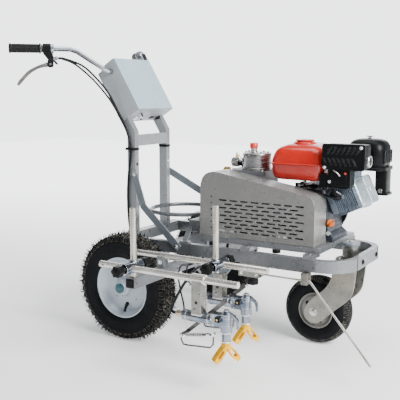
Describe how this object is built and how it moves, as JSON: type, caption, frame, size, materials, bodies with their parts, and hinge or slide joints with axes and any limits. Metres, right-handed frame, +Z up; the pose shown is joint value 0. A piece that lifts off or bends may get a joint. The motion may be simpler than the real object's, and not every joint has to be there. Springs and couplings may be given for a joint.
{
  "type": "line striping machine",
  "caption": "Walk-behind road line striping machine with an engine-driven airless pump, spray guns on sliding rods and a lockable front castor.",
  "frame": {"origin": "centre of the footprint on the ground, below the middle of the bounding box", "axes": "+X towards the castor wheel, +Y to the operator's left, +Z up"},
  "size_m": [1.5156, 1.1208, 1.144],
  "materials": {
    "frame_paint": "satin",
    "zinc_plate": "satin",
    "box_paint": "satin",
    "cover_paint": "satin",
    "black_plastic": "matte",
    "grip_rubber": "matte",
    "cable_sheath": "satin",
    "guard_paint": "satin",
    "pulley_iron": "matte",
    "belt_rubber": "matte",
    "pump_paint": "matte",
    "turned_steel": "brushed",
    "red_plastic": "gloss",
    "hose_rubber": "satin",
    "engine_aluminium": "as cast",
    "tank_red": "gloss",
    "black_sheet": "satin",
    "tyre": "matte",
    "wheel_paint": "gloss",
    "rod_steel": "brushed",
    "yellow_plastic": "satin"
  },
  "bodies": {
    "root": {"rail_right": "frame_paint", "rail_left": "frame_paint", "front_bow": "frame_paint", "castor_head": "zinc_plate", "rear_axle": "frame_paint", "upright": "frame_paint", "brace_right": "zinc_plate", "brace_left": "zinc_plate", "control_box": "box_paint", "box_cover": "cover_paint", "handlebar": "zinc_plate", "grip_right": "grip_rubber", "grip_left": "grip_rubber", "control_cables": "cable_sheath", "deck": "frame_paint", "pail_rack": "frame_paint", "belt_guard": "guard_paint", "drive_belt": "belt_rubber", "pump_body": "pump_paint", "pump_head": "turned_steel", "paint_hose": "hose_rubber", "engine_block": "engine_aluminium", "valve_cover": "zinc_plate", "fuel_tank": "tank_red", "muffler": "black_sheet", "air_cleaner": "black_plastic", "recoil_starter": "black_sheet", "gun_arm": "rod_steel", "pointer_clamp": "zinc_plate"},
    "right_wheel": {"tyre_right": "tyre", "rim_right": "wheel_paint"},
    "left_wheel": {"tyre_left": "tyre", "rim_left": "wheel_paint"},
    "castor": {"castor_fork": "zinc_plate"},
    "front_wheel": {"castor_tyre": "tyre", "castor_rim": "wheel_paint"},
    "right_lever": {"lever_right": "zinc_plate"},
    "left_lever": {"lever_left": "zinc_plate"},
    "toggle": {"box_switch": "black_plastic"},
    "clamp_1": {"cross_clamp_1": "turned_steel"},
    "knob_1a": {"lock_knob_1a": "black_plastic"},
    "knob_1b": {"lock_knob_1b": "black_plastic"},
    "carrier_1": {"gun_rod_1": "rod_steel", "gun_1": "turned_steel"},
    "trigger_1_body": {"trigger_1": "zinc_plate"},
    "tip_1": {"tip_guard_1": "yellow_plastic"},
    "clamp_2": {"cross_clamp_2": "turned_steel"},
    "knob_2a": {"lock_knob_2a": "black_plastic"},
    "knob_2b": {"lock_knob_2b": "black_plastic"},
    "carrier_2": {"gun_post_2": "rod_steel", "gun_2": "turned_steel"},
    "trigger_2_body": {"trigger_2": "zinc_plate"},
    "tip_2": {"tip_guard_2": "yellow_plastic"},
    "pointer": {"pointer_rod": "rod_steel"},
    "driven_pulley": {"pump_pulley": "pulley_iron"},
    "driving_pulley": {"engine_pulley": "pulley_iron"},
    "pressure_dial": {"pressure_knob": "turned_steel"},
    "valve": {"prime_valve": "red_plastic"},
    "tank_cap": {"fuel_cap": "tank_red"},
    "starter_handle": {"recoil_handle": "black_plastic"}
  },
  "joints": [
    {"name": "right_wheel_spin", "type": "hinge", "parent": "root", "child": "right_wheel", "pos_m": [-0.22987, -0.21056, 0.204], "axis": [0, 1, 0], "continuous": true},
    {"name": "left_wheel_spin", "type": "hinge", "parent": "root", "child": "left_wheel", "pos_m": [-0.22987, 0.46944, 0.204], "axis": [0, 1, 0], "continuous": true},
    {"name": "castor_swivel", "type": "hinge", "parent": "root", "child": "castor", "pos_m": [0.54813, 0.12944, 0.3], "axis": [0, 0, 1], "continuous": true},
    {"name": "front_wheel_spin", "type": "hinge", "parent": "castor", "child": "front_wheel", "pos_m": [0.42913, 0.12944, 0.13], "axis": [0, 1, 0], "continuous": true},
    {"name": "right_lever_squeeze", "type": "hinge", "parent": "root", "child": "right_lever", "pos_m": [-0.63337, -0.17706, 1.063], "axis": [-0.7071, 0.7071, 0], "range_deg": [0, 20], "stiffness_Nm_per_rad": 0.8, "springref_deg": -22.92},
    {"name": "left_lever_squeeze", "type": "hinge", "parent": "root", "child": "left_lever", "pos_m": [-0.63337, 0.43594, 1.063], "axis": [0.7071, 0.7071, 0], "range_deg": [0, 20], "stiffness_Nm_per_rad": 0.8, "springref_deg": -22.92},
    {"name": "toggle_flip", "type": "hinge", "parent": "root", "child": "toggle", "pos_m": [-0.3514, 0.05944, 0.86462], "axis": [0, 1, 0], "range_deg": [-24, 0]},
    {"name": "clamp_1_height", "type": "slide", "parent": "root", "child": "clamp_1", "axis": [0, 0, 1], "range_m": [-0.01, 0.15], "deforming": ["paint_hose"]},
    {"name": "knob_1a_turn", "type": "hinge", "parent": "clamp_1", "child": "knob_1a", "pos_m": [-0.00687, -0.53556, 0.362], "axis": [0, 1, 0], "range_deg": [-180, 180]},
    {"name": "knob_1b_turn", "type": "hinge", "parent": "clamp_1", "child": "knob_1b", "pos_m": [-0.00687, -0.41556, 0.362], "axis": [0, 1, 0], "range_deg": [-180, 180]},
    {"name": "rod_1_reach", "type": "slide", "parent": "clamp_1", "child": "carrier_1", "axis": [1, 0, 0], "range_m": [-0.12, 0.08], "deforming": ["paint_hose"]},
    {"name": "trigger_1_pull", "type": "hinge", "parent": "carrier_1", "child": "trigger_1_body", "pos_m": [0.28513, -0.46506, 0.238], "axis": [0, 1, 0], "range_deg": [-6, 0]},
    {"name": "tip_guard_1_turn", "type": "hinge", "parent": "carrier_1", "child": "tip_1", "pos_m": [0.37313, -0.48756, 0.16], "axis": [0, 0, 1], "range_deg": [-90, 90]},
    {"name": "clamp_2_reach", "type": "slide", "parent": "root", "child": "clamp_2", "axis": [1, 0, 0], "range_m": [-0.05, 0.08], "deforming": ["paint_hose"]},
    {"name": "knob_2a_turn", "type": "hinge", "parent": "clamp_2", "child": "knob_2a", "pos_m": [0.23413, -0.36556, 0.366], "axis": [0, 1, 0], "range_deg": [-180, 180]},
    {"name": "knob_2b_turn", "type": "hinge", "parent": "clamp_2", "child": "knob_2b", "pos_m": [0.23413, -0.24356, 0.366], "axis": [0, 1, 0], "range_deg": [-180, 180]},
    {"name": "post_2_height", "type": "slide", "parent": "clamp_2", "child": "carrier_2", "axis": [0, 0, 1], "range_m": [-0.08, 0], "deforming": ["paint_hose"]},
    {"name": "trigger_2_pull", "type": "hinge", "parent": "carrier_2", "child": "trigger_2_body", "pos_m": [0.26413, -0.29606, 0.247], "axis": [0, 1, 0], "range_deg": [-6, 0]},
    {"name": "tip_guard_2_turn", "type": "hinge", "parent": "carrier_2", "child": "tip_2", "pos_m": [0.35213, -0.31856, 0.169], "axis": [0, 0, 1], "range_deg": [-90, 90]},
    {"name": "pointer_swing", "type": "hinge", "parent": "root", "child": "pointer", "pos_m": [0.37013, -0.09256, 0.294], "axis": [1, 0, 0], "range_deg": [-110, 0]},
    {"name": "pump_pulley_spin", "type": "hinge", "parent": "root", "child": "driven_pulley", "pos_m": [0.11513, -0.00556, 0.525], "axis": [0, 1, 0], "continuous": true},
    {"name": "engine_pulley_spin", "type": "hinge", "parent": "root", "child": "driving_pulley", "pos_m": [0.39513, -0.00556, 0.505], "axis": [0, 1, 0], "continuous": true},
    {"name": "pressure_turn", "type": "hinge", "parent": "root", "child": "pressure_dial", "pos_m": [0.06513, 0.12944, 0.676], "axis": [1, 0, 0], "range_deg": [-135, 135]},
    {"name": "prime_turn", "type": "hinge", "parent": "root", "child": "valve", "pos_m": [0.14413, 0.12544, 0.74], "axis": [0, 0, 1], "range_deg": [0, 90]},
    {"name": "fuel_cap_turn", "type": "hinge", "parent": "root", "child": "tank_cap", "pos_m": [0.36213, 0.11944, 0.772], "axis": [0, 0, 1], "range_deg": [0, 90]},
    {"name": "starter_pull", "type": "slide", "parent": "root", "child": "starter_handle", "axis": [-1, 0, 0], "range_m": [0, 0.35], "stiffness_N_per_m": 15, "springref_m": -0.3}
  ],
  "couplings": [
    {"joint": "trigger_1_pull", "follows": "right_lever_squeeze", "ratio": -0.28},
    {"joint": "trigger_2_pull", "follows": "right_lever_squeeze", "ratio": -0.28},
    {"joint": "engine_pulley_spin", "follows": "pump_pulley_spin", "ratio": 2.66}
  ]
}
